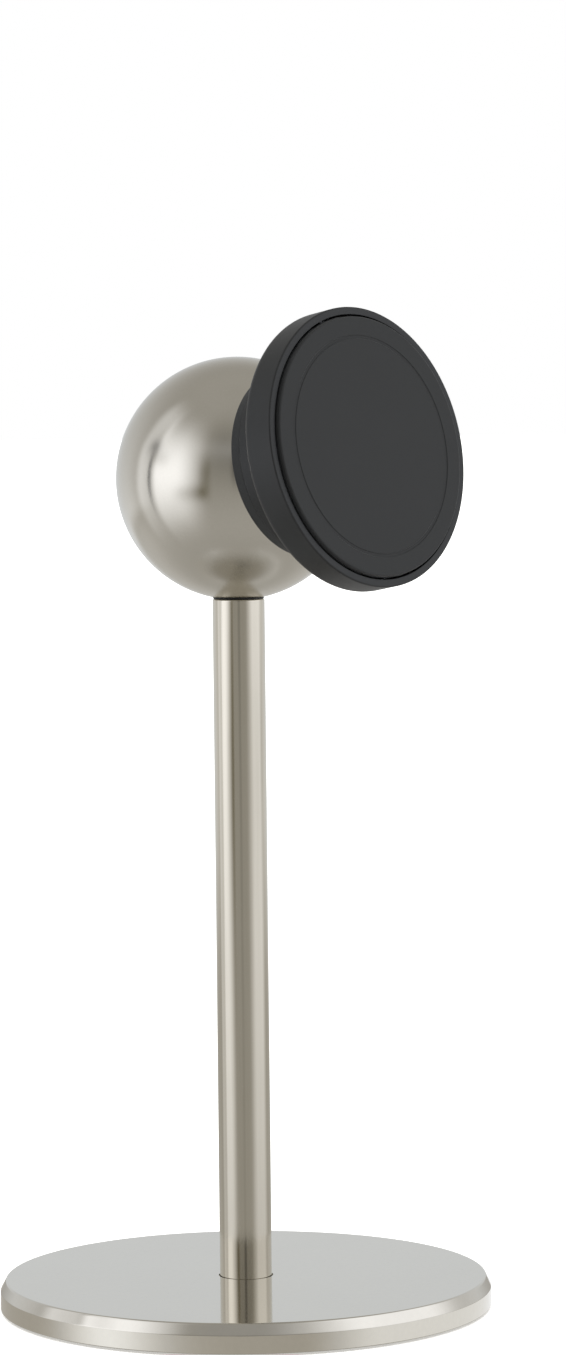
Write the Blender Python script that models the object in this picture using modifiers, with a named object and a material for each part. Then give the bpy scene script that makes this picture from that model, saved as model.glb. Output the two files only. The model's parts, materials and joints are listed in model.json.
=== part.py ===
"""Magnetic phone stand: round weighted base, thin post, steel ball, magnetic cup and round head.

Units are metres and +Z is up. The origin is the centre of the rubber pad's underside. At rest the
head faces -Y and looks up by HEAD_TILT. The ball swivels about the post, the cup slides on the ball
as a tilt about the ball's centre, and the head turns on the cup about its own axis.
"""

from math import asin, cos, degrees, pi, radians, sin, sqrt

import bmesh
import bpy
from mathutils import Matrix, Vector

MM = 0.001

# Driving dimensions, in millimetres
BASE_RADIUS = 51.0
BASE_THICKNESS = 6.0
BASE_BEVEL_WIDTH = 1.2
BASE_BEVEL_HEIGHT = 2.3
PAD_RADIUS = 46.7
PAD_THICKNESS = 1.5
PAD_PROUD = 0.5
POST_RADIUS = 5.4
POST_BORE = 4.2
BALL_RADIUS = 25.0
BALL_WALL = 1.5
BALL_CENTRE_Z = 172.0
SWIVEL_WASHER = 0.2
HEAD_TILT = 10.0
HEAD_RADIUS = 28.5
HEAD_FACE = 38.0
MAGNET_COUNT = 16
FACE_SCREW_COUNT = 3
FACE_SCREW_CIRCLE = 14.0

# Clearances, in millimetres
GAP = 0.3
FIT = 0.15
TOUCH = 0.05

# Facets round a full turn
STEPS_BASE = 56
STEPS_BALL = 40
STEPS_HEAD = 40
STEPS_SMALL = 20

# Heights on the stand's axis, in millimetres
BASE_TOP = PAD_PROUD + BASE_THICKNESS
FOOT_RECESS = 1.0
PAD_RECESS_TOP = PAD_THICKNESS + GAP
BALL_FLAT = sqrt(BALL_RADIUS**2 - POST_RADIUS**2)
JOINT_Z = BALL_CENTRE_Z - BALL_FLAT
POST_TOP = JOINT_Z - SWIVEL_WASHER - 2 * TOUCH
POST_BOTTOM = BASE_TOP - FOOT_RECESS + GAP
BUSHING_BOTTOM = POST_TOP - 14.0

# Places along the head's axis, in millimetres from the ball's centre towards the head's face
SEAT_RADIUS = BALL_RADIUS + GAP
LIP_BACK = 17.3
LIP_RADIUS = 19.3
CUP_BACK = 20.1
CUP_FLOOR_BACK = 27.8
CUP_FRONT = 29.0
CUP_BORE = 17.9
CUP_FLARE = 23.6
HEAD_BACK = 29.6
HEAD_FLOOR = 31.0
HEAD_RIM = 37.2
HEAD_BORE = 26.9
BOSS_TOP = 35.4
MAGNET_BACK = 33.1
MAGNET_FRONT = 35.4
PLATE_BACK = 35.7
SHIELD_BACK = 32.0
SHIELD_FRONT = 32.8
CARRIER_FLOOR = 34.0
PIVOT_BACK = 25.7
PIVOT_HEAD = 27.0
PIVOT_FRONT = 33.9
FACE_SCREW_END = 31.8
PLATE_FRONT = 36.9
PIVOT_RADIUS = 2.0
M4_HOLE = 2.15
M4_NUT_RADIUS = 4.04


def start_clean():
    for obj in list(bpy.data.objects):
        bpy.data.objects.remove(obj, do_unlink=True)


def make_collection(name):
    collection = bpy.data.collections.new(name)
    bpy.context.scene.collection.children.link(collection)
    return collection


def make_material(name, colour, roughness, metallic):
    material = bpy.data.materials.new(name)
    material.use_nodes = True
    shader = material.node_tree.nodes["Principled BSDF"]
    shader.inputs["Base Color"].default_value = (*colour, 1.0)
    shader.inputs["Roughness"].default_value = roughness
    shader.inputs["Metallic"].default_value = metallic
    material.diffuse_color = (*colour, 1.0)
    return material


start_clean()
PARTS = make_collection("phone_stand")
CUTTERS = make_collection("cutters")
CUTTERS.hide_render = True

SATIN_NICKEL = make_material("satin_nickel", (0.58, 0.55, 0.50), 0.32, 1.0)
BLACK_PLASTIC = make_material("black_plastic", (0.012, 0.012, 0.013), 0.45, 0.0)
BLACK_SILICONE = make_material("black_silicone", (0.020, 0.020, 0.021), 0.75, 0.0)
GREY_RUBBER = make_material("grey_rubber", (0.045, 0.047, 0.047), 0.85, 0.0)
ZINC_STEEL = make_material("zinc_steel", (0.52, 0.53, 0.54), 0.38, 1.0)
MAGNET_NICKEL = make_material("magnet_nickel", (0.62, 0.61, 0.58), 0.22, 1.0)
NYLON = make_material("nylon", (0.62, 0.60, 0.55), 0.50, 0.0)


def make_empty(name, parent, location_mm=(0, 0, 0), rotation=(0, 0, 0)):
    empty = bpy.data.objects.new(name, None)
    empty.empty_display_size = 10 * MM
    empty.parent = parent
    empty.location = Vector(location_mm) * MM
    empty.rotation_euler = rotation
    PARTS.objects.link(empty)
    return empty


def add_object(name, mesh, material, parent=None, collection=None):
    obj = bpy.data.objects.new(name, mesh)
    if material:
        mesh.materials.append(material)
    obj.parent = parent
    (collection or PARTS).objects.link(obj)
    return obj


def shade(mesh, angle=35.0):
    mesh.shade_smooth()
    mesh.set_sharp_from_angle(angle=radians(angle))


def arc(centre_r, centre_z, radius, start, end, count):
    """Points (r, z) on an arc. Angles are in degrees, from +r towards +z."""
    points = []
    for i in range(count + 1):
        angle = radians(start + (end - start) * i / count)
        points.append((centre_r + radius * cos(angle), centre_z + radius * sin(angle)))
    return points


def off_axis(ring, sphere):
    """The angle in degrees between a sphere's axis and its points that lie ring away from the axis."""
    return degrees(asin(ring / sphere))


def turned(name, profile, material, parent=None, steps=STEPS_SMALL, closed=True, collection=None):
    """A solid turned about Z. The profile (r, z) runs down its outer side, and is closed for a ring."""
    mesh = bpy.data.meshes.new(name)
    edges = [(i, i + 1) for i in range(len(profile) - 1)]
    if closed:
        edges.append((len(profile) - 1, 0))
    mesh.from_pydata([(r * MM, 0, z * MM) for r, z in profile], edges, [])
    obj = add_object(name, mesh, None, parent, collection)
    screw = obj.modifiers.new("turn", "SCREW")
    screw.axis = "Z"
    screw.angle = 2 * pi
    screw.steps = steps
    screw.render_steps = steps
    screw.use_merge_vertices = True
    screw.merge_threshold = 0.000001
    graph = bpy.context.evaluated_depsgraph_get()
    solid = bpy.data.meshes.new_from_object(obj.evaluated_get(graph))
    obj.modifiers.clear()
    obj.data = solid
    bpy.data.meshes.remove(mesh)
    solid.name = name
    if material:
        solid.materials.append(material)
    shade(solid)
    return obj


def washer(name, inner, outer, bottom, top, material, parent=None, steps=STEPS_SMALL):
    profile = [(inner, top), (outer, top), (outer, bottom), (inner, bottom)]
    return turned(name, profile, material, parent, steps)


def prism(name, radius, bottom, top, sides, material=None, parent=None, collection=None):
    """An upright prism with a corner on +X. Its radius is that of its corners."""
    bm = bmesh.new()
    bmesh.ops.create_cone(
        bm,
        cap_ends=True,
        segments=sides,
        radius1=radius * MM,
        radius2=radius * MM,
        depth=(top - bottom) * MM,
        matrix=Matrix.Translation((0, 0, (top + bottom) / 2 * MM)),
    )
    mesh = bpy.data.meshes.new(name)
    bm.to_mesh(mesh)
    bm.free()
    return add_object(name, mesh, material, parent, collection)


def boolean(obj, other, operation="DIFFERENCE"):
    modifier = obj.modifiers.new(other.name, "BOOLEAN")
    modifier.operation = operation
    modifier.object = other
    modifier.solver = "EXACT"


def cutter(obj):
    obj.hide_render = True
    obj.display_type = "WIRE"
    return obj


def around(index, count, radius, phase=0.0):
    """The place of one of count equal stations on a circle."""
    angle = radians(phase) + 2 * pi * index / count
    return Vector((radius * cos(angle), radius * sin(angle), 0)) * MM


def build_base():
    """The weighted plate, its rubber pad, and the screw that holds the post."""
    top_radius = BASE_RADIUS - BASE_BEVEL_WIDTH
    foot_radius = POST_RADIUS + GAP
    recess_floor = BASE_TOP - FOOT_RECESS
    screw_hole = 2.75
    sink_radius = 4.9
    sink_top = 4.0
    bottom_edge = 0.4
    plate = [
        (foot_radius, BASE_TOP),
        (top_radius, BASE_TOP),
        (BASE_RADIUS, BASE_TOP - BASE_BEVEL_HEIGHT),
        (BASE_RADIUS, PAD_PROUD + bottom_edge),
        (BASE_RADIUS - bottom_edge, PAD_PROUD),
        (PAD_RADIUS + GAP, PAD_PROUD),
        (PAD_RADIUS + GAP, PAD_RECESS_TOP),
        (sink_radius, PAD_RECESS_TOP),
        (screw_hole, sink_top),
        (screw_hole, recess_floor),
        (foot_radius, recess_floor),
    ]
    turned("base_plate", plate, SATIN_NICKEL, steps=STEPS_BASE)

    pad = [(0, PAD_THICKNESS), (PAD_RADIUS, PAD_THICKNESS), (PAD_RADIUS, 0), (0, 0)]
    turned("base_pad", pad, GREY_RUBBER, steps=STEPS_BASE, closed=False)

    head_face = PAD_THICKNESS + 0.4
    shank_radius = 2.5
    shank_top = 20.0
    shank_chamfer = 0.5
    screw = [
        (0, shank_top),
        (shank_radius - shank_chamfer, shank_top),
        (shank_radius, shank_top - shank_chamfer),
        (shank_radius, sink_top),
        (sink_radius - GAP, head_face),
        (0, head_face),
    ]
    base_screw = turned("base_screw", screw, ZINC_STEEL, closed=False)
    socket_radius = 1.73
    socket_depth = 1.3
    socket = prism(
        "base_screw_socket", socket_radius, head_face - 1, head_face + socket_depth, 6,
        collection=CUTTERS,
    )
    boolean(base_screw, cutter(socket))


def build_post():
    """The tube, the threaded plug in its foot, and the bushing in its top that the swivel turns in."""
    edge = 0.3
    tube = [
        (POST_BORE, POST_TOP),
        (POST_RADIUS - edge, POST_TOP),
        (POST_RADIUS, POST_TOP - edge),
        (POST_RADIUS, POST_BOTTOM + edge),
        (POST_RADIUS - edge, POST_BOTTOM),
        (POST_BORE, POST_BOTTOM),
    ]
    turned("post_tube", tube, SATIN_NICKEL, steps=32)
    plug_radius = POST_BORE - FIT
    plug_hole = 2.65
    plug_top = 22.0
    washer("post_foot_plug", plug_hole, plug_radius, POST_BOTTOM, plug_top, ZINC_STEEL)
    washer("post_top_bushing", M4_HOLE, plug_radius, BUSHING_BOTTOM, POST_TOP - TOUCH, NYLON)


def build_swivel(swivel):
    """The ball and what turns with it. Heights here are from the ball's centre."""
    joint = -BALL_FLAT
    washer(
        "friction_washer", M4_HOLE + 0.5, POST_RADIUS - 0.1, joint - SWIVEL_WASHER - TOUCH,
        joint - TOUCH, BLACK_PLASTIC, swivel, steps=32,
    )

    inner = BALL_RADIUS - BALL_WALL
    hole = 4.6
    outer_end = -90 + off_axis(POST_RADIUS, BALL_RADIUS)
    inner_end = -90 + off_axis(hole, inner)
    shell = arc(0, 0, BALL_RADIUS, 90, outer_end, 18)
    shell.append((hole, joint))
    shell += arc(0, 0, inner, inner_end, 90, 12)
    shell[0] = (0, BALL_RADIUS)
    shell[-1] = (0, inner)
    turned("ball_shell", shell, SATIN_NICKEL, swivel, STEPS_BALL, closed=False)

    flange_radius = 8.0
    flange_bottom = -21.4
    flange_top = flange_bottom + 3.0
    boss_radius = 5.0
    boss_top = flange_top + 6.0
    thread_top = boss_top - 1.5
    boss = [
        (0, boss_top),
        (boss_radius, boss_top),
        (boss_radius, flange_top),
        (flange_radius, flange_top),
        (flange_radius, flange_bottom),
        (hole - GAP, flange_bottom),
        (hole - GAP, joint),
        (M4_HOLE, joint),
        (M4_HOLE, thread_top),
        (0, thread_top),
    ]
    turned("ball_boss", boss, ZINC_STEEL, swivel, closed=False)

    bushing_bottom = BUSHING_BOTTOM - BALL_CENTRE_Z
    stud_bottom = bushing_bottom - 8.5
    stud_top = thread_top - GAP
    stud_chamfer = 0.4
    stud = [
        (0, stud_top),
        (PIVOT_RADIUS - stud_chamfer, stud_top),
        (PIVOT_RADIUS, stud_top - stud_chamfer),
        (PIVOT_RADIUS, stud_bottom + stud_chamfer),
        (PIVOT_RADIUS - stud_chamfer, stud_bottom),
        (0, stud_bottom),
    ]
    turned("swivel_stud", stud, ZINC_STEEL, swivel, closed=False)

    washer_radius = 3.9
    top = bushing_bottom - TOUCH
    washer("thrust_washer", M4_HOLE, washer_radius, top - 0.8, top, ZINC_STEEL, swivel)
    spring_top = top - 0.8 - TOUCH
    cone = 0.45
    sheet = 0.4
    for number, rim_down in ((1, True), (2, False)):
        rim = spring_top - (cone if rim_down else 0)
        eye = spring_top - (0 if rim_down else cone)
        spring = [
            (M4_HOLE, eye),
            (washer_radius, rim),
            (washer_radius, rim - sheet),
            (M4_HOLE, eye - sheet),
        ]
        turned(f"spring_washer_{number}", spring, ZINC_STEEL, swivel)
        spring_top -= cone + sheet + TOUCH

    nut_top = spring_top
    nut_bottom = nut_top - 4.4
    nut = prism("stud_nut", M4_NUT_RADIUS, nut_bottom, nut_top, 6, ZINC_STEEL, swivel)
    thread = prism("stud_nut_thread", M4_HOLE, nut_bottom - 1, nut_top + 1, 20, collection=CUTTERS)
    thread.parent = swivel
    boolean(nut, cutter(thread))


def build_cup(tilt):
    """The magnetic cup that grips the ball. Heights here are along the head's axis."""
    cove_radius = CUP_FLARE - CUP_BORE - 1.9
    cup = [
        (PIVOT_RADIUS + FIT, CUP_FRONT),
        (CUP_FLARE - 0.5, CUP_FRONT),
        (CUP_FLARE, CUP_FRONT - 0.5),
    ]
    cup += arc(CUP_FLARE, CUP_FRONT - 1.2 - cove_radius, cove_radius, 90, 180, 6)
    cup += [
        (CUP_FLARE - cove_radius, CUP_BACK + 0.3),
        (CUP_FLARE - cove_radius - 0.2, CUP_BACK),
        (CUP_BORE, CUP_BACK),
        (CUP_BORE, CUP_FLOOR_BACK),
        (PIVOT_RADIUS + FIT, CUP_FLOOR_BACK),
    ]
    turned("cup_shell", cup, BLACK_PLASTIC, tilt, STEPS_HEAD)

    seat_inner = 12.0
    seat_front = 23.0
    lip_front = CUP_BACK - GAP
    body_radius = CUP_BORE - GAP
    seat_start = off_axis(sqrt(SEAT_RADIUS**2 - LIP_BACK**2), SEAT_RADIUS)
    seat_end = off_axis(seat_inner, SEAT_RADIUS)
    seat = [
        (seat_inner, seat_front),
        (body_radius, seat_front),
        (body_radius, lip_front),
        (LIP_RADIUS, lip_front),
        (LIP_RADIUS, LIP_BACK + 0.3),
        (LIP_RADIUS - 0.3, LIP_BACK),
    ]
    seat += arc(0, 0, SEAT_RADIUS, 90 - seat_start, 90 - seat_end, 6)
    turned("seat_ring", seat, BLACK_SILICONE, tilt, STEPS_HEAD)

    magnet_front = 26.1
    yoke_hole = 5.0
    washer("grip_magnet", 10.0, 17.2, 23.3, magnet_front, MAGNET_NICKEL, tilt, 36)
    washer("grip_yoke", yoke_hole, 17.4, magnet_front + 0.2, 27.5, ZINC_STEEL, tilt, 36)
    washer("slip_washer", 2.4, 14.0, CUP_FRONT + TOUCH, HEAD_BACK - TOUCH, NYLON, tilt, 36)


def build_wave_washer(tilt):
    """A spring ring with three waves, between the pivot's head and the floor of the cup."""
    inner = 2.4
    outer = 4.4
    half_sheet = 0.12
    wave = 0.15
    middle = 27.38
    bm = bmesh.new()
    rings = []
    for i in range(36):
        angle = 2 * pi * i / 36
        height = middle + wave * cos(3 * angle)
        corners = (
            (inner, height + half_sheet),
            (outer, height + half_sheet),
            (outer, height - half_sheet),
            (inner, height - half_sheet),
        )
        rings.append([
            bm.verts.new(Vector((r * cos(angle), r * sin(angle), z)) * MM) for r, z in corners
        ])
    for i, ring in enumerate(rings):
        following = rings[(i + 1) % len(rings)]
        for k in range(4):
            n = (k + 1) % 4
            bm.faces.new((ring[k], ring[n], following[n], following[k]))
    bmesh.ops.recalc_face_normals(bm, faces=bm.faces)
    mesh = bpy.data.meshes.new("wave_washer")
    bm.to_mesh(mesh)
    bm.free()
    shade(mesh)
    add_object("wave_washer", mesh, ZINC_STEEL, tilt)


def build_head_shell(roll):
    """The round housing, open to the front, with a ledge for the shield and three screw bosses."""
    edge = 0.3
    rear_round = 1.8
    rim_wall = 1.6
    ledge = HEAD_FLOOR + 0.7
    shell = [(HEAD_RADIUS - rim_wall, HEAD_RIM), (HEAD_RADIUS - edge, HEAD_RIM)]
    shell.append((HEAD_RADIUS, HEAD_RIM - edge))
    shell += arc(HEAD_RADIUS - rear_round, HEAD_BACK + rear_round, rear_round, 0, -90, 4)
    shell += [
        (M4_HOLE, HEAD_BACK),
        (M4_HOLE, HEAD_FLOOR),
        (21.5, HEAD_FLOOR),
        (21.5, ledge),
        (HEAD_RADIUS - rim_wall, ledge),
    ]
    head_shell = turned("head_shell", shell, BLACK_PLASTIC, roll, STEPS_HEAD)
    for i in range(FACE_SCREW_COUNT):
        place = around(i, FACE_SCREW_COUNT, FACE_SCREW_CIRCLE, phase=90)
        boss = prism(f"boss_{i + 1}", 2.3, HEAD_FLOOR - 0.6, BOSS_TOP, 16, collection=CUTTERS)
        pilot = prism(f"pilot_{i + 1}", 1.15, HEAD_FLOOR + 0.6, BOSS_TOP + 1, 12, collection=CUTTERS)
        for helper, operation in ((boss, "UNION"), (pilot, "DIFFERENCE")):
            helper.parent = roll
            helper.location = place
            boolean(head_shell, cutter(helper), operation)


def build_pivot(roll):
    """The pin that holds the head on the cup, and its nut inside the head."""
    chamfer = 0.3
    pin_head_radius = 4.0
    pin_head_chamfer = 0.7
    pin = [
        (0, PIVOT_FRONT),
        (PIVOT_RADIUS - chamfer, PIVOT_FRONT),
        (PIVOT_RADIUS, PIVOT_FRONT - chamfer),
        (PIVOT_RADIUS, PIVOT_HEAD),
        (pin_head_radius, PIVOT_HEAD),
        (pin_head_radius, PIVOT_BACK + pin_head_chamfer),
        (pin_head_radius - pin_head_chamfer, PIVOT_BACK),
        (0, PIVOT_BACK),
    ]
    turned("pivot_pin", pin, ZINC_STEEL, roll, closed=False)
    nut_back = HEAD_FLOOR + TOUCH
    nut_front = nut_back + 2.2
    nut = prism("pivot_nut", M4_NUT_RADIUS, nut_back, nut_front, 6, ZINC_STEEL, roll)
    thread = prism("pivot_nut_thread", M4_HOLE, nut_back - 1, nut_front + 1, 20, collection=CUTTERS)
    thread.parent = roll
    boolean(nut, cutter(thread))


def build_magnet_ring(roll):
    """The steel shield, the ring of magnets on it, and the carrier that holds them from inside."""
    shield_inner = 21.8
    washer(
        "shield_ring", shield_inner, HEAD_BORE - GAP, SHIELD_BACK, SHIELD_FRONT, ZINC_STEEL, roll,
        STEPS_HEAD,
    )
    inner = 22.9
    outer = 26.5
    slices = 3
    pitch = 2 * pi / MAGNET_COUNT
    half_span = pitch / 2 - asin(GAP / 2 / inner)
    for number in range(MAGNET_COUNT):
        bm = bmesh.new()
        rings = []
        for i in range(slices + 1):
            angle = number * pitch + half_span * (2 * i / slices - 1)
            corners = (
                (inner, MAGNET_FRONT),
                (outer, MAGNET_FRONT),
                (outer, MAGNET_BACK),
                (inner, MAGNET_BACK),
            )
            rings.append([
                bm.verts.new(Vector((r * cos(angle), r * sin(angle), z)) * MM) for r, z in corners
            ])
        for ring, following in zip(rings, rings[1:]):
            for k in range(4):
                n = (k + 1) % 4
                bm.faces.new((ring[k], ring[n], following[n], following[k]))
        bm.faces.new(rings[0])
        bm.faces.new(rings[-1])
        bmesh.ops.recalc_face_normals(bm, faces=bm.faces)
        name = f"magnet_{number + 1:02d}"
        mesh = bpy.data.meshes.new(name)
        bm.to_mesh(mesh)
        bm.free()
        add_object(name, mesh, MAGNET_NICKEL, roll)

    carrier_hole = 5.5
    rim_outer = 22.6
    collar_outer = 21.4
    collar_inner = 19.9
    screw_clearance = 2.8
    profile = [
        (carrier_hole, BOSS_TOP),
        (rim_outer, BOSS_TOP),
        (rim_outer, MAGNET_BACK),
        (collar_outer, MAGNET_BACK),
        (collar_outer, HEAD_FLOOR + GAP),
        (collar_inner, HEAD_FLOOR + GAP),
        (collar_inner, CARRIER_FLOOR),
        (carrier_hole, CARRIER_FLOOR),
    ]
    carrier = turned("magnet_carrier", profile, BLACK_PLASTIC, roll, 36)
    for i in range(FACE_SCREW_COUNT):
        hole = prism(
            f"carrier_hole_{i + 1}", screw_clearance, CARRIER_FLOOR - 1, BOSS_TOP + 1, 16,
            collection=CUTTERS,
        )
        hole.parent = roll
        hole.location = around(i, FACE_SCREW_COUNT, FACE_SCREW_CIRCLE, phase=90)
        boolean(carrier, cutter(hole))


def build_face(roll):
    """The face plate, its three countersunk screws and the silicone pad that touches the phone."""
    plate_radius = HEAD_BORE - GAP
    plate = [(0, PLATE_FRONT), (plate_radius, PLATE_FRONT), (plate_radius, PLATE_BACK), (0, PLATE_BACK)]
    face_plate = turned("face_plate", plate, BLACK_PLASTIC, roll, STEPS_HEAD, closed=False)

    head_top = PLATE_FRONT - 0.1
    head_base = head_top - 0.8
    screw_head = 1.8
    screw_shank = 0.95
    screw_point = 0.5
    screw_profile = [
        (0, head_top),
        (screw_head, head_top),
        (screw_shank, head_base),
        (screw_shank, FACE_SCREW_END + screw_point),
        (screw_shank - screw_point, FACE_SCREW_END),
        (0, FACE_SCREW_END),
    ]
    hole_profile = [
        (0, PLATE_FRONT + 1),
        (screw_head + GAP, PLATE_FRONT + 1),
        (screw_head + GAP, head_top),
        (screw_shank + 0.25, head_base - 0.1),
        (screw_shank + 0.25, PLATE_BACK - 1),
        (0, PLATE_BACK - 1),
    ]
    for i in range(FACE_SCREW_COUNT):
        place = around(i, FACE_SCREW_COUNT, FACE_SCREW_CIRCLE, phase=90)
        hole = turned(f"face_hole_{i + 1}", hole_profile, None, roll, 16, False, CUTTERS)
        hole.location = place
        boolean(face_plate, cutter(hole))
        screw = turned(f"face_screw_{i + 1}", screw_profile, ZINC_STEEL, roll, 16, False)
        screw.location = place
        recess = prism(f"face_recess_{i + 1}", 0.75, head_top - 0.5, head_top + 1, 6, collection=CUTTERS)
        recess.parent = roll
        recess.location = place
        boolean(screw, cutter(recess))

    pad_radius = 26.4
    edge = 0.3
    pad = [
        (0, HEAD_FACE),
        (pad_radius - edge, HEAD_FACE),
        (pad_radius, HEAD_FACE - edge),
        (pad_radius, PLATE_FRONT + 0.1),
        (0, PLATE_FRONT + 0.1),
    ]
    turned("face_pad", pad, BLACK_SILICONE, roll, STEPS_HEAD, closed=False)


def main():
    build_base()
    build_post()
    swivel = make_empty("swivel_axis", None, (0, 0, BALL_CENTRE_Z))
    build_swivel(swivel)
    facing = (radians(90 - HEAD_TILT), 0, 0)
    tilt = make_empty("tilt_axis", swivel, rotation=facing)
    build_cup(tilt)
    build_wave_washer(tilt)
    roll = make_empty("roll_axis", tilt)
    build_head_shell(roll)
    build_pivot(roll)
    build_magnet_ring(roll)
    build_face(roll)


main()
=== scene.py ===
"""Looks of the magnetic phone stand: fine turned skins round the CAD frame, satin nickel, silicone and
moulded plastic, in a pale studio. Lengths are in metres. Outlines are (radius, height) pairs that run
down a piece's outer side, with heights along its own axis.
"""

import json
from math import cos, pi, radians, sin, sqrt, tan

import bpy
import numpy as np
from mathutils import Matrix, Vector


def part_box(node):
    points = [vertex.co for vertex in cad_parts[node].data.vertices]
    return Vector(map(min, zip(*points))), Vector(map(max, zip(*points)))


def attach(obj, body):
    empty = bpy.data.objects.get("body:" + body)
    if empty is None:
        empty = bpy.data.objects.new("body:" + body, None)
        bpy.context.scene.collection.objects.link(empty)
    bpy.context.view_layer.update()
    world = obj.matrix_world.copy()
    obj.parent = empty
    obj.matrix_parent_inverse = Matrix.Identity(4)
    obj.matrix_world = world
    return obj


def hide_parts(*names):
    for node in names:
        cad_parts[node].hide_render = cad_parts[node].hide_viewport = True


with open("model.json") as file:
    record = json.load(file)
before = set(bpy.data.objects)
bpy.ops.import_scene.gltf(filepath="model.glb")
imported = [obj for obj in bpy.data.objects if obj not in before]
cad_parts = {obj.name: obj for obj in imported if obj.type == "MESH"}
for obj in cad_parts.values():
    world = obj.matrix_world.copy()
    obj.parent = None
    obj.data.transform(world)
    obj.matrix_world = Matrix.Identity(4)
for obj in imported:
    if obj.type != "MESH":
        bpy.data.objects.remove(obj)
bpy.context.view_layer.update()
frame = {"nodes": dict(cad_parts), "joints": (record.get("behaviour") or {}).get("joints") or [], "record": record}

MM = 0.001
NODES = frame["nodes"]
JOINTS = {joint["name"]: joint for joint in frame["joints"]}
BALL_CENTRE = Vector(JOINTS["tilt"]["pos_m"])
HEAD_AXIS = Vector(JOINTS["roll"]["axis"]).normalized()
UP = Vector((0, 0, 1))
ORIGIN = Vector((0, 0, 0))

# The camera, from the stand's axis: angles in degrees. Its sensor's size is in millimetres, upwards
CAMERA_AZIMUTH = -46.2
CAMERA_DISTANCE = 0.9197
CAMERA_HEIGHT = 0.1858
CAMERA_PITCH = -3.42
CAMERA_PAN = -0.56
CAMERA_ROLL = -0.596
FOCAL_LENGTH_IN_FRAME_HEIGHTS = 3.294
SENSOR = 36.0

# Colours, linear
NICKEL = (0.648, 0.62, 0.557)
WARM_NICKEL = (0.657, 0.617, 0.532)
BLACK_MOULDING = (0.010, 0.0108, 0.0115)
BLACK_SOFT = (0.014, 0.015, 0.0158)
PAD_GREY = (0.045, 0.047, 0.047)
ZINC = (0.56, 0.58, 0.60)
MAGNET = (0.66, 0.65, 0.61)
FLOOR_WHITE = (0.90, 0.90, 0.89)
NATURAL_NYLON = (0.70, 0.68, 0.60)

# How much a metal's grain changes along X, Y and Z
EVEN = (1.0, 1.0, 1.0)
ALONG_Z = (1.0, 1.0, 0.03)

# Sizes inside the pieces
GAP = 0.3 * MM
RIM_WALL = 1.6 * MM
POST_BORE = 4.2 * MM
WASHER_HOLE = 2.65 * MM
SCREW_HOLE = 2.75 * MM
SCREW_HEAD = 4.9 * MM
SCREW_HEAD_TOP = 4.0 * MM
POST_SOCKET = 1.0 * MM
BALL_WALL = 1.5 * MM
BALL_HOLE = 4.6 * MM
PIVOT_HOLE = 2.15 * MM
CUP_BORE = 17.9 * MM
CUP_FLANGE = 1.2 * MM
CUP_CREASE = 0.8 * MM
CUP_COVE = 3.8 * MM
SEAT_RADIUS = 25.3 * MM
SEAT_HOLE = 12.0 * MM
HEAD_FLOOR = 1.4 * MM
HEAD_STEP = 0.7 * MM
HEAD_STEP_RADIUS = 21.5 * MM
FACE_GROOVE = (21.8 * MM, 22.6 * MM)

# Steps of the quarter circle under the cup's flange
COVE_STEPS = 12

# The studio: radii of the rings that hold its lights, and strengths
ROOM_RING = 0.48
NEAR_RING = 80 * MM
ROOM_LIGHT = 0.38
TABLE_LIGHT = 0.48
OVERHEAD_LIGHT = 3.6
FLOOR_GLOW = 0.35


# ---------------------------------------------------------------- node helpers


def new_material(name):
    material = bpy.data.materials.new(name)
    material.use_nodes = True
    tree = material.node_tree
    return material, tree, tree.nodes["Principled BSDF"]


def add_node(tree, kind, **settings):
    node = tree.nodes.new(kind)
    for key, value in settings.items():
        setattr(node, key, value)
    return node


def math(tree, operation, first, second=0.0):
    """A Math node on sockets or numbers. Returns its output socket."""
    node = add_node(tree, "ShaderNodeMath", operation=operation)
    for socket, value in zip(node.inputs, (first, second)):
        if isinstance(value, (int, float)):
            socket.default_value = value
        else:
            tree.links.new(value, socket)
    return node.outputs[0]


def map_range(tree, value, low, high, out_low, out_high, smooth=False):
    node = add_node(tree, "ShaderNodeMapRange")
    node.interpolation_type = "SMOOTHSTEP" if smooth else "LINEAR"
    tree.links.new(value, node.inputs["Value"])
    for key, number in zip(("From Min", "From Max", "To Min", "To Max"), (low, high, out_low, out_high)):
        node.inputs[key].default_value = number
    return node.outputs["Result"]


def dot_with(tree, vector, axis):
    dot = add_node(tree, "ShaderNodeVectorMath", operation="DOT_PRODUCT")
    tree.links.new(vector, dot.inputs[0])
    dot.inputs[1].default_value = axis
    return dot.outputs["Value"]


def object_noise(tree, scale, stretch=(1, 1, 1), detail=3.0, roughness=0.5):
    """Noise in the piece's own coordinates, scale in cycles per metre."""
    place = add_node(tree, "ShaderNodeTexCoord")
    mapping = add_node(tree, "ShaderNodeMapping")
    mapping.inputs["Scale"].default_value = stretch
    noise = add_node(tree, "ShaderNodeTexNoise")
    noise.inputs["Scale"].default_value = scale
    noise.inputs["Detail"].default_value = detail
    noise.inputs["Roughness"].default_value = roughness
    tree.links.new(place.outputs["Object"], mapping.inputs["Vector"])
    tree.links.new(mapping.outputs["Vector"], noise.inputs["Vector"])
    return noise.outputs["Fac"]


def varied_colour(tree, shader, colour, noise, spread):
    """Base colour from colour x (1 - spread) to colour x (1 + spread) as noise goes from low to high."""
    ramp = add_node(tree, "ShaderNodeValToRGB")
    ramp.color_ramp.elements[0].position = 0.25
    ramp.color_ramp.elements[1].position = 0.75
    ramp.color_ramp.elements[0].color = (*[c * (1 - spread) for c in colour], 1)
    ramp.color_ramp.elements[1].color = (*[min(1.0, c * (1 + spread)) for c in colour], 1)
    tree.links.new(noise, ramp.inputs["Fac"])
    tree.links.new(ramp.outputs["Color"], shader.inputs["Base Color"])


def varied_roughness(tree, shader, roughness, noise, spread):
    value = map_range(tree, noise, 0.25, 0.75, roughness - spread, roughness + spread)
    tree.links.new(value, shader.inputs["Roughness"])


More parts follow.
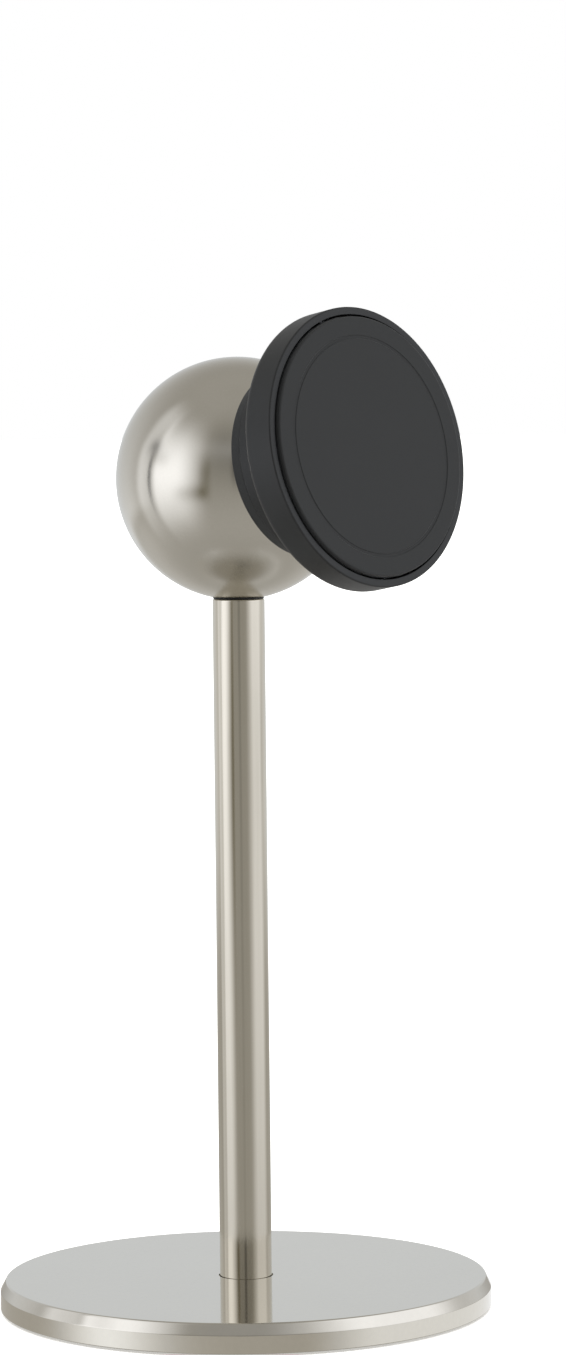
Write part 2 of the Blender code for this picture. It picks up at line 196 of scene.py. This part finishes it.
def bumped(tree, shader, height, distance):
    bump = add_node(tree, "ShaderNodeBump")
    bump.inputs["Distance"].default_value = distance
    tree.links.new(height, bump.inputs["Height"])
    tree.links.new(bump.outputs["Normal"], shader.inputs["Normal"])


# ---------------------------------------------------------------- materials


def satin_metal(name, roughness, brush, colour=NICKEL, brush_scale=1800.0, depth=0.0000012, wave=0.0):
    """Satin nickel. The grain changes along X, Y and Z by brush's three shares, and stands depth metres
    high. wave is the height of slow ripples.
    """
    material, tree, shader = new_material(name)
    shader.inputs["Metallic"].default_value = 1.0
    grain = object_noise(tree, brush_scale, brush, detail=5.0, roughness=0.62)
    cloud = object_noise(tree, 60.0, detail=3.0)
    mixed = math(tree, "ADD", math(tree, "MULTIPLY", grain, 0.65), math(tree, "MULTIPLY", cloud, 0.35))
    varied_colour(tree, shader, colour, mixed, 0.035)
    varied_roughness(tree, shader, roughness, mixed, roughness * 0.12)
    ripples = math(tree, "MULTIPLY", object_noise(tree, 95.0, detail=1.0), wave / depth)
    bumped(tree, shader, math(tree, "ADD", grain, ripples), depth)
    return material


def moulded(name, colour, roughness, grain_scale, depth, spread=0.25):
    """Fine spark-eroded plastic or silicone: a pebbled bump, and slow changes of gloss and tone."""
    material, tree, shader = new_material(name)
    pebble = object_noise(tree, grain_scale, detail=2.0)
    cloud = object_noise(tree, 90.0, detail=4.0, roughness=0.6)
    varied_colour(tree, shader, colour, cloud, spread)
    varied_roughness(tree, shader, roughness, cloud, 0.06)
    bumped(tree, shader, pebble, depth)
    shader.inputs["Specular IOR Level"].default_value = 0.36
    return material


def silicone(name, colour, roughness):
    material = moulded(name, colour, roughness, 3200.0, 0.000010, 0.18)
    shader = material.node_tree.nodes["Principled BSDF"]
    shader.inputs["Sheen Weight"].default_value = 0.12
    shader.inputs["Sheen Roughness"].default_value = 0.4
    shader.inputs["Specular IOR Level"].default_value = 0.32
    return material


def nylon(name):
    material = moulded(name, NATURAL_NYLON, 0.5, 2600.0, 0.000006, 0.05)
    shader = material.node_tree.nodes["Principled BSDF"]
    shader.inputs["Subsurface Weight"].default_value = 0.2
    shader.inputs["Subsurface Scale"].default_value = 0.001
    return material


def ball_metal():
    """Satin nickel that is duller on the ball's underside, where the polishing wheel reaches least."""
    material = satin_metal(
        "satin_nickel_ball", 0.14, EVEN, brush_scale=2400.0, depth=0.0000005, wave=0.00008
    )
    tree = material.node_tree
    shader = tree.nodes["Principled BSDF"]
    polished = shader.inputs["Roughness"].links[0].from_socket
    place = add_node(tree, "ShaderNodeTexCoord").outputs["Generated"]
    duller = map_range(tree, dot_with(tree, place, UP), 0.16, 0.32, 0.11, 0.0, smooth=True)
    tree.links.new(math(tree, "ADD", polished, duller), shader.inputs["Roughness"])
    return material


MATERIALS = {
    "ball": ball_metal(),
    "post": satin_metal("satin_nickel_post", 0.12, ALONG_Z, WARM_NICKEL, wave=0.00003),
    "plate": satin_metal("satin_nickel_plate", 0.075, EVEN, brush_scale=900.0, depth=0.0000008),
    "black_plastic": moulded("black_moulded_plastic", BLACK_MOULDING, 0.42, 4200.0, 0.000008),
    "black_silicone": silicone("black_silicone", BLACK_SOFT, 0.62),
    "pad_rubber": moulded("grey_rubber", PAD_GREY, 0.85, 2600.0, 0.000020),
    "zinc_steel": satin_metal("zinc_plated_steel", 0.34, EVEN, ZINC, 900.0, 0.000002),
    "magnet_nickel": satin_metal("nickel_plated_magnet", 0.16, EVEN, MAGNET, 700.0, 0.000001),
    "nylon": nylon("natural_nylon"),
}


def wear(piece, material):
    piece.data.materials.clear()
    piece.data.materials.append(MATERIALS[material])


def dress_cad_nodes():
    """Each CAD node takes the detailed material of its own slot."""
    finish_of_slot = {"satin_nickel": "post"}
    for part in frame["record"]["subparts"]:
        slot = part["material_slot"]
        node = NODES[part["node"]]
        node.data.materials.clear()
        node.data.materials.append(MATERIALS[finish_of_slot.get(slot, slot)])


# ---------------------------------------------------------------- turned pieces


def rounded(corners, segments=6):
    """An outline through corners (radius, height, fillet), with each fillet made an arc."""
    points = []
    count = len(corners)
    for i, (r, z, fillet) in enumerate(corners):
        here = Vector((r, z))
        if not fillet:
            points.append((r, z))
            continue
        before = (Vector(corners[i - 1][:2]) - here).normalized()
        after = (Vector(corners[(i + 1) % count][:2]) - here).normalized()
        half = before.angle(after) / 2
        centre = here + (before + after).normalized() * fillet / sin(half)
        start = here + before * fillet / tan(half) - centre
        end = here + after * fillet / tan(half) - centre
        sweep = pi - 2 * half
        for k in range(segments + 1):
            share = k / segments
            point = (start * sin((1 - share) * sweep) + end * sin(share * sweep)) / sin(sweep)
            points.append(tuple(centre + point))
    return points


def sphere_arc(radius, start, end, count):
    """Points on a sphere about the axis, from angle start to end, in degrees from the axis's top."""
    angles = [radians(start + (end - start) * i / count) for i in range(count + 1)]
    return [(radius * sin(a), radius * cos(a)) for a in angles]


def off_axis(ring, sphere):
    """How far from the axis, in degrees, a ring of one radius lies on a sphere of another."""
    return np.degrees(np.arcsin(ring / sphere))


def held_straight(outline, closed):
    """The outline with a point close to each end of its long runs, so that flat faces shade flat."""
    reach_in = 0.25 * MM
    points = []
    pairs = list(zip(outline, outline[1:]))
    if closed:
        pairs.append((outline[-1], outline[0]))
    for start, end in pairs:
        points.append(start)
        run = Vector(end) - Vector(start)
        if run.length > 6 * reach_in:
            for share in (reach_in / run.length, 1 - reach_in / run.length):
                points.append(tuple(Vector(start) + run * share))
    if not closed:
        points.append(outline[-1])
    return points


def turned(name, outline, centre, axis, steps, closed=True):
    """A solid turned about axis. A closed outline makes a ring, and an open one ends on the axis."""
    outline = held_straight(outline, closed)
    across = Vector((1, 0, 0))
    along = axis.cross(across)
    verts = []
    rings = []
    for r, z in outline:
        if r < 1e-9:
            rings.append([len(verts)] * steps)
            verts.append(centre + axis * z)
            continue
        rings.append(list(range(len(verts), len(verts) + steps)))
        for k in range(steps):
            turn = 2 * pi * k / steps
            verts.append(centre + axis * z + (across * cos(turn) + along * sin(turn)) * r)
    faces = []
    pairs = list(zip(rings, rings[1:]))
    if closed:
        pairs.append((rings[-1], rings[0]))
    for upper, lower in pairs:
        for k in range(steps):
            n = (k + 1) % steps
            face = [upper[k], lower[k], lower[n], upper[n]]
            faces.append(list(dict.fromkeys(face)))
    mesh = bpy.data.meshes.new(name)
    mesh.from_pydata([tuple(v) for v in verts], [], faces)
    mesh.validate()
    mesh.shade_smooth()
    mesh.set_sharp_from_angle(angle=radians(40))
    piece = bpy.data.objects.new(name, mesh)
    bpy.context.scene.collection.objects.link(piece)
    return piece


def stand_for(piece, node, body, material):
    wear(piece, material)
    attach(piece, body)
    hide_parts(node)


def build_base_plate():
    """The plate, with its bevelled edge, a socket for the post and a recess for the pad."""
    low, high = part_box("base_plate")
    radius = high.x
    bevel_width = 1.2 * MM
    bevel_height = 2.3 * MM
    foot_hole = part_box("post_tube")[1].x + 0.25 * MM
    pad_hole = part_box("base_pad")[1].x + GAP
    pad_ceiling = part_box("base_pad")[1].z + GAP
    corners = [
        (foot_hole, high.z, 0.06 * MM),
        (radius - bevel_width, high.z, 0.45 * MM),
        (radius, high.z - bevel_height, 0.22 * MM),
        (radius, low.z, 0.20 * MM),
        (pad_hole, low.z, 0.10 * MM),
        (pad_hole, pad_ceiling, 0),
        (SCREW_HEAD, pad_ceiling, 0),
        (SCREW_HOLE, SCREW_HEAD_TOP, 0),
        (SCREW_HOLE, high.z - POST_SOCKET, 0),
        (foot_hole, high.z - POST_SOCKET, 0),
    ]
    plate = turned("base_plate_skin", rounded(corners), ORIGIN, UP, 256)
    stand_for(plate, "base_plate", "stand", "plate")


def build_base_pad():
    """The pad, with fine concentric grooves on its underside."""
    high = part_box("base_pad")[1]
    radius = high.x
    corners = [(0, high.z, 0), (radius, high.z, 0.15 * MM), (radius, 0, 0.2 * MM)]
    outline = rounded(corners, 4)
    groove = 1.2 * MM
    depth = 0.35 * MM
    pitch = 3 * MM
    ring = radius - pitch
    while ring > 12 * MM:
        bottom = [(ring - groove * 0.3, depth), (ring - groove * 0.7, depth)]
        outline += [(ring, 0), *bottom, (ring - groove, 0)]
        ring -= pitch
    outline.append((0, 0))
    pad = turned("base_pad_skin", outline, ORIGIN, UP, 160, closed=False)
    stand_for(pad, "base_pad", "stand", "pad_rubber")


def build_post():
    """The tube, with a small bevel at its top edge."""
    low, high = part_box("post_tube")
    edge = 0.28 * MM
    corners = [
        (POST_BORE, high.z, 0.1 * MM),
        (high.x - edge, high.z, 0.06 * MM),
        (high.x, high.z - edge, 0.06 * MM),
        (high.x, low.z, 0.25 * MM),
        (POST_BORE, low.z, 0.1 * MM),
    ]
    post = turned("post_tube_skin", rounded(corners, 4), ORIGIN, UP, 160)
    stand_for(post, "post_tube", "stand", "post")


def build_friction_washer():
    """The black washer between the post and the ball."""
    low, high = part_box("friction_washer")
    corners = [
        (WASHER_HOLE, high.z, 0),
        (high.x, high.z, 0.1 * MM),
        (high.x, low.z, 0.1 * MM),
        (WASHER_HOLE, low.z, 0),
    ]
    washer = turned("friction_washer_skin", rounded(corners, 4), ORIGIN, UP, 96)
    stand_for(washer, "friction_washer", "ball", "black_plastic")


def build_ball():
    """A hollow sphere with a flat under it, as wide as the post, and its edge just broken."""
    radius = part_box("ball_shell")[1].z - BALL_CENTRE.z
    joint = BALL_CENTRE.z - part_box("ball_shell")[0].z
    inner = radius - BALL_WALL
    flat = sqrt(radius**2 - joint**2)
    edge = 0.25
    outline = sphere_arc(radius, 0, 180 - off_axis(flat, radius) - edge, 96)
    outline.append((flat - 0.12 * MM, -joint))
    outline.append((BALL_HOLE, -joint))
    outline += sphere_arc(inner, 180 - off_axis(BALL_HOLE, inner), 0, 40)
    outline[-1] = (0, inner)
    ball = turned("ball_skin", outline, BALL_CENTRE, UP, 192, closed=False)
    stand_for(ball, "ball_shell", "ball", "ball")


def reach(node):
    """A node's lowest and highest place along the head's axis from the ball's centre, and its radius."""
    points = np.array([v.co for v in NODES[node].data.vertices]) - np.array(BALL_CENTRE)
    heights = points @ np.array(HEAD_AXIS)
    radii = np.linalg.norm(points - np.outer(heights, np.array(HEAD_AXIS)), axis=1)
    return float(heights.min()), float(heights.max()), float(radii.max())


def build_cup():
    """The cup's black shell, which flares into a flange under the head, with a fine crease below the
    flange. Its front is dished: it slopes straight from the flange's edge to the floor at the pivot hole.
    """
    back, front, flare = reach("cup_shell")
    waist = flare - CUP_COVE
    floor = front - CUP_FLANGE
    outline = rounded([
        (PIVOT_HOLE, front, 0),
        (flare, front, 0.45 * MM),
        (flare, floor, 0.25 * MM),
        (flare - CUP_CREASE, floor, 0),
    ], 5)[1:]
    cove = [radians(90 + 90 * i / COVE_STEPS) for i in range(1, COVE_STEPS + 1)]
    outline += [(flare + CUP_COVE * cos(a), floor - CUP_COVE + CUP_COVE * sin(a)) for a in cove]
    outline += rounded([
        (waist, floor - CUP_COVE, 0),
        (waist, back, 0.25 * MM),
        (CUP_BORE, back, 0.1 * MM),
        (CUP_BORE, floor, 0),
        (PIVOT_HOLE, floor, 0),
    ], 5)[1:]
    cup = turned("cup_skin", outline, BALL_CENTRE, HEAD_AXIS, 160)
    stand_for(cup, "cup_shell", "cup", "black_plastic")


def build_seat_ring():
    """The soft ring in the cup's mouth, hollowed to lie on the ball."""
    cup_back = reach("cup_shell")[0]
    back, front, lip = reach("seat_ring")
    body = CUP_BORE - GAP
    lip_front = cup_back - GAP
    edge = sqrt(SEAT_RADIUS**2 - back**2)
    outline = rounded([
        (SEAT_HOLE, front, 0),
        (body, front, 0.1 * MM),
        (body, lip_front, 0),
        (lip, lip_front, 0.2 * MM),
        (lip, back, 0.35 * MM),
        (edge, back, 0),
    ], 5)
    hollow = sphere_arc(SEAT_RADIUS, off_axis(edge, SEAT_RADIUS), off_axis(SEAT_HOLE, SEAT_RADIUS), 16)
    outline += hollow[1:]
    ring = turned("seat_ring_skin", outline, BALL_CENTRE, HEAD_AXIS, 160)
    stand_for(ring, "seat_ring", "cup", "black_silicone")


def build_head():
    """The round housing, open to the front, with a step in its floor."""
    back, rim, radius = reach("head_shell")
    floor = back + HEAD_FLOOR
    bore = radius - RIM_WALL
    corners = [
        (bore, rim, 0.15 * MM),
        (radius, rim, 0.35 * MM),
        (radius, back, 1.8 * MM),
        (PIVOT_HOLE, back, 0),
        (PIVOT_HOLE, floor, 0),
        (HEAD_STEP_RADIUS, floor, 0),
        (HEAD_STEP_RADIUS, floor + HEAD_STEP, 0),
        (bore, floor + HEAD_STEP, 0),
    ]
    shell = turned("head_skin", rounded(corners, 10), BALL_CENTRE, HEAD_AXIS, 192)
    stand_for(shell, "head_shell", "head", "black_plastic")


def build_face_pad():
    """The silicone pad that the phone lies on, with a shallow ring groove."""
    back, face, radius = reach("face_pad")
    inner, outer = FACE_GROOVE
    depth = 0.12 * MM
    slope = 0.1 * MM
    outline = [(0, face), (inner, face)]
    outline += [(inner + slope, face - depth), (outer - slope, face - depth), (outer, face)]
    outline += rounded([
        (outer, face, 0),
        (radius, face, 0.3 * MM),
        (radius, back, 0),
        (0, back, 0),
    ], 6)[1:]
    pad = turned("face_pad_skin", outline, BALL_CENTRE, HEAD_AXIS, 160, closed=False)
    stand_for(pad, "face_pad", "head", "black_silicone")


# ---------------------------------------------------------------- studio


def camera_frame():
    """Level directions from the stand: towards the camera, and to the right as the camera sees it."""
    azimuth = radians(CAMERA_AZIMUTH)
    towards = Vector((sin(azimuth), -cos(azimuth), 0))
    right = Vector((cos(azimuth), sin(azimuth), 0))
    return towards, right


def add_camera():
    towards, _ = camera_frame()
    camera = bpy.data.objects.new("camera", bpy.data.cameras.new("camera"))
    bpy.context.scene.collection.objects.link(camera)
    camera.data.sensor_width = SENSOR
    camera.data.lens = FOCAL_LENGTH_IN_FRAME_HEIGHTS * SENSOR
    turn = Matrix.Rotation(radians(CAMERA_AZIMUTH + CAMERA_PAN), 4, "Z")
    pitch = Matrix.Rotation(radians(90 + CAMERA_PITCH), 4, "X")
    roll = Matrix.Rotation(radians(CAMERA_ROLL), 4, "Z")
    place = Matrix.Translation(towards * CAMERA_DISTANCE + UP * CAMERA_HEIGHT)
    camera.matrix_world = place @ turn @ pitch @ roll
    camera.data.clip_start = 0.01
    camera.data.clip_end = 100
    bpy.context.scene.camera = camera


def soft_edge(tree, value, edge, softness):
    """0 below edge and 1 above it, over softness degrees. A negative softness turns it round."""
    half = abs(softness) / 2
    low, high = (0.0, 1.0) if softness > 0 else (1.0, 0.0)
    return map_range(tree, value, edge - half, edge + half, low, high, smooth=True)


def bell(tree, value, centre, width):
    """A bell curve of value: 1 at centre, 0.37 at width from it."""
    off = math(tree, "DIVIDE", math(tree, "SUBTRACT", value, centre), width)
    return math(tree, "EXPONENT", math(tree, "MULTIPLY", math(tree, "MULTIPLY", off, off), -1.0))


def turn_from_camera(tree, vector):
    """The angle of vector about the stand, in degrees: 0 towards the camera, and positive to its right."""
    towards, right = camera_frame()
    turn = math(tree, "ARCTAN2", dot_with(tree, vector, right), dot_with(tree, vector, towards))
    return math(tree, "MULTIPLY", turn, 180 / pi)


def panel(tree, side, height, strength, left_edge, right_edge, centre, width):
    """A soft panel of light between two edges, each an angle and its softness in degrees. It is brightest
    at the height centre and fades over width. A negative strength takes light away.
    """
    across = math(tree, "MULTIPLY", soft_edge(tree, side, *left_edge), soft_edge(tree, side, *right_edge))
    lit = math(tree, "MULTIPLY", across, bell(tree, height, centre, width))
    return math(tree, "MULTIPLY", lit, strength)


def tinted(tree, light, warmest=(1.03, 1.0, 0.925)):
    """A colour by light's strength: warm where it is low, and cooler where it is high."""
    tint = add_node(tree, "ShaderNodeValToRGB")
    tint.color_ramp.elements[0].color = (*warmest, 1)
    tint.color_ramp.elements[1].color = (0.94, 1.0, 1.10, 1)
    neutral = tint.color_ramp.elements.new(0.2)
    neutral.color = (1.008, 1.0, 0.985, 1)
    tree.links.new(map_range(tree, light, 0.35, 2.0, 0, 1), tint.inputs["Fac"])
    return tint.outputs["Color"]


def add_room_light():
    """The far light by direction: a grey room, paler behind the stand."""
    world = bpy.data.worlds.new("studio")
    bpy.context.scene.world = world
    world.use_nodes = True
    world.cycles.sampling_method = "NONE"
    tree = world.node_tree
    background = tree.nodes["Background"]
    direction = add_node(tree, "ShaderNodeTexCoord").outputs["Generated"]
    side = turn_from_camera(tree, direction)
    height = math(tree, "MULTIPLY", math(tree, "ARCSINE", dot_with(tree, direction, UP)), 180 / pi)

    below = math(tree, "MULTIPLY", bell(tree, height, -45, 35), 0.08)
    above = math(tree, "MULTIPLY", bell(tree, height, 75, 30), 0.06)
    low_behind = math(tree, "MULTIPLY", bell(tree, height, -27, 16), 0.18)
    light = math(tree, "ADD", math(tree, "ADD", ROOM_LIGHT, below), above)
    for extra in (
        panel(tree, side, height, -0.13, (-30, 30), (30, -30), 27, 28),
        panel(tree, side, height, -0.16, (-5, 4), (5, -4), 8, 14),
        math(tree, "MULTIPLY", soft_edge(tree, math(tree, "ABSOLUTE", side), 110, 50), low_behind),
    ):
        light = math(tree, "ADD", light, extra)

    seen = add_node(tree, "ShaderNodeLightPath").outputs["Is Camera Ray"]
    strength = add_node(tree, "ShaderNodeMix", data_type="FLOAT")
    tree.links.new(seen, strength.inputs["Factor"])
    tree.links.new(light, strength.inputs["A"])
    strength.inputs["B"].default_value = 1.0
    colour = add_node(tree, "ShaderNodeMix", data_type="RGBA")
    tree.links.new(seen, colour.inputs["Factor"])
    tree.links.new(tinted(tree, light), colour.inputs["A"])
    colour.inputs["B"].default_value = (1, 1, 1, 1)
    tree.links.new(strength.outputs["Result"], background.inputs["Strength"])
    tree.links.new(colour.outputs["Result"], background.inputs["Color"])


def stage_mesh(name, verts, faces):
    """A mesh that only reflections see. Returns its node tree, and the angle and height of its surface."""
    mesh = bpy.data.meshes.new(name)
    mesh.from_pydata(verts, [], faces)
    piece = bpy.data.objects.new(name, mesh)
    bpy.context.scene.collection.objects.link(piece)
    material = bpy.data.materials.new(name)
    material.use_nodes = True
    material.cycles.emission_sampling = "NONE"
    mesh.materials.append(material)
    piece.visible_camera = False
    piece.visible_diffuse = False
    piece.visible_shadow = False
    tree = material.node_tree
    tree.nodes.remove(tree.nodes["Principled BSDF"])
    place = add_node(tree, "ShaderNodeTexCoord").outputs["Object"]
    return tree, turn_from_camera(tree, place), dot_with(tree, place, UP)


def stage_glow(name, verts, faces, light_of, see_through):
    """A glowing stage mesh. light_of gives its strength and colour."""
    tree, side, height = stage_mesh(name, verts, faces)
    light, colour = light_of(tree, side, height)
    glow = add_node(tree, "ShaderNodeEmission")
    tree.links.new(light, glow.inputs["Strength"])
    tree.links.new(colour, glow.inputs["Color"])
    surface = glow.outputs["Emission"]
    if see_through:
        clear = add_node(tree, "ShaderNodeBsdfTransparent")
        both = add_node(tree, "ShaderNodeAddShader")
        tree.links.new(surface, both.inputs[0])
        tree.links.new(clear.outputs["BSDF"], both.inputs[1])
        surface = both.outputs["Shader"]
    tree.links.new(surface, tree.nodes["Material Output"].inputs["Surface"])


def band(radius, low, high, steps=96):
    """The vertices and faces of an upright ring strip round the stand."""
    turns = [2 * pi * k / steps for k in range(steps)]
    verts = [(radius * cos(t), radius * sin(t), z) for z in (low, high) for t in turns]
    faces = [(k, (k + 1) % steps, steps + (k + 1) % steps, steps + k) for k in range(steps)]
    return verts, faces


def add_side_panels():
    """The near light: soft white panels on a clear cylinder, by angle and by height in metres."""

    def light_of(tree, side, height):
        away = math(tree, "ABSOLUTE", side)
        low = math(tree, "MULTIPLY", soft_edge(tree, away, 150, 30), 0.035)
        above_table = soft_edge(tree, math(tree, "ADD", height, low), 0.03, 0.08)
        behind = math(tree, "MULTIPLY", bell(tree, height, 0.10, 0.40), above_table)
        light = math(tree, "MULTIPLY", math(tree, "MULTIPLY", soft_edge(tree, away, 106, 46), behind), 0.36)
        for extra in (
            panel(tree, side, height, 1.12, (-84, 6), (-43, -34), 0.22, 0.32),
            panel(tree, side, height, -0.32, (-88, 8), (-70, -16), 0.30, 0.05),
            panel(tree, side, height, 0.10, (-45, 20), (45, -20), 0.42, 0.09),
            panel(tree, side, height, 0.33, (-106, 16), (-80, -16), 0.60, 0.20),
            panel(tree, side, height, 0.48, (-107, 10), (-84, -6), 0.19, 0.28),
            panel(tree, side, height, -0.15, (-36, 6), (-26, -6), 0.21, 0.12),
            panel(tree, side, height, 0.92, (45, 36), (108, -30), 0.27, 0.36),
            panel(tree, side, height, 0.26, (20, 30), (64, -40), 0.40, 0.09),
            panel(tree, side, height, -0.34, (-60, 16), (-30, -14), 0.075, 0.06),
            panel(tree, side, height, -0.16, (42, 20), (97, -10), 0.085, 0.055),
            panel(tree, side, height, -0.30, (97, 10), (114, -12), 0.085, 0.045),
        ):
            light = math(tree, "ADD", light, extra)
        tint = add_node(tree, "ShaderNodeValToRGB")
        tint.color_ramp.elements[0].color = (0.965, 1.0, 1.10, 1)
        tint.color_ramp.elements[1].color = (0.90, 1.0, 1.14, 1)
        far_side = math(tree, "MULTIPLY", soft_edge(tree, away, 140, 60), behind)
        tree.links.new(far_side, tint.inputs["Fac"])
        return light, tint.outputs["Color"]

    verts, faces = band(ROOM_RING, -1.0, 2.0)
    stage_glow("side_panels", verts, faces, light_of, True)


def add_ball_shades():
    """A narrow dark strip with a soft wider top, close beside the ball on a clear band at its height."""
    verts, faces = band(NEAR_RING, 125 * MM, 235 * MM)
    tree, side, height = stage_mesh("ball_shades", verts, faces)
    strip = panel(tree, side, height, 0.85, (-80.3, 2), (-76.8, -2), 0.176, 0.028)
    top = math(tree, "MULTIPLY", bell(tree, height, 0.203, 0.009), 0.55)
    smudge = math(tree, "MULTIPLY", bell(tree, side, -78, 7), top)
    clearness = math(tree, "SUBTRACT", 1.0, math(tree, "MAXIMUM", strip, smudge))
    clear = add_node(tree, "ShaderNodeBsdfTransparent")
    tree.links.new(clearness, clear.inputs["Color"])
    tree.links.new(clear.outputs["BSDF"], tree.nodes["Material Output"].inputs["Surface"])


def add_table_glow():
    """The pale table close to the base, as a low ring that the edge of the base reflects."""

    def light_of(tree, side, height):
        left = math(tree, "MULTIPLY", bell(tree, side, -46, 19), 0.76)
        right = math(tree, "MULTIPLY", soft_edge(tree, side, 31, 30), 0.54)
        behind = math(tree, "MULTIPLY", soft_edge(tree, side, -150, -50), 0.54)
        light = math(tree, "ADD", math(tree, "ADD", left, right), math(tree, "ADD", behind, TABLE_LIGHT))
        return light, tinted(tree, light, (1.07, 1.0, 0.865))

    verts, faces = band(NEAR_RING, -14 * MM, -0.5 * MM)
    stage_glow("table_glow", verts, faces, light_of, False)


def add_overhead_light():
    """Broad light from above, which lights the floor evenly and the matt pieces."""
    light = bpy.data.lights.new("overhead", "SUN")
    light.angle = radians(120)
    light.energy = OVERHEAD_LIGHT
    lamp = bpy.data.objects.new("overhead", light)
    lamp.visible_glossy = False
    bpy.context.scene.collection.objects.link(lamp)


def add_floor():
    """A wide pale floor, just under the pad."""
    radius = 30.0
    steps = 64
    mesh = bpy.data.meshes.new("floor")
    ring = [(radius * cos(2 * pi * k / steps), radius * sin(2 * pi * k / steps), 0) for k in range(steps)]
    mesh.from_pydata(ring, [], [list(range(steps))])
    floor = bpy.data.objects.new("floor", mesh)
    floor.location = (0, 0, -0.02 * MM)
    material, tree, shader = new_material("pale_floor")
    varied_colour(tree, shader, FLOOR_WHITE, object_noise(tree, 3.0), 0.005)
    shader.inputs["Roughness"].default_value = 0.9
    shader.inputs["Specular IOR Level"].default_value = 0.1
    shader.inputs["Emission Color"].default_value = (1, 1, 1, 1)
    shader.inputs["Emission Strength"].default_value = FLOOR_GLOW
    mesh.materials.append(material)
    floor.visible_glossy = False
    bpy.context.scene.collection.objects.link(floor)


def main():
    bpy.context.scene.view_settings.view_transform = "Standard"
    add_camera()
    add_room_light()
    add_side_panels()
    add_ball_shades()
    add_table_glow()
    add_overhead_light()
    add_floor()
    dress_cad_nodes()
    build_base_plate()
    build_base_pad()
    build_post()
    build_friction_washer()
    build_ball()
    build_cup()
    build_seat_ring()
    build_head()
    build_face_pad()


main()
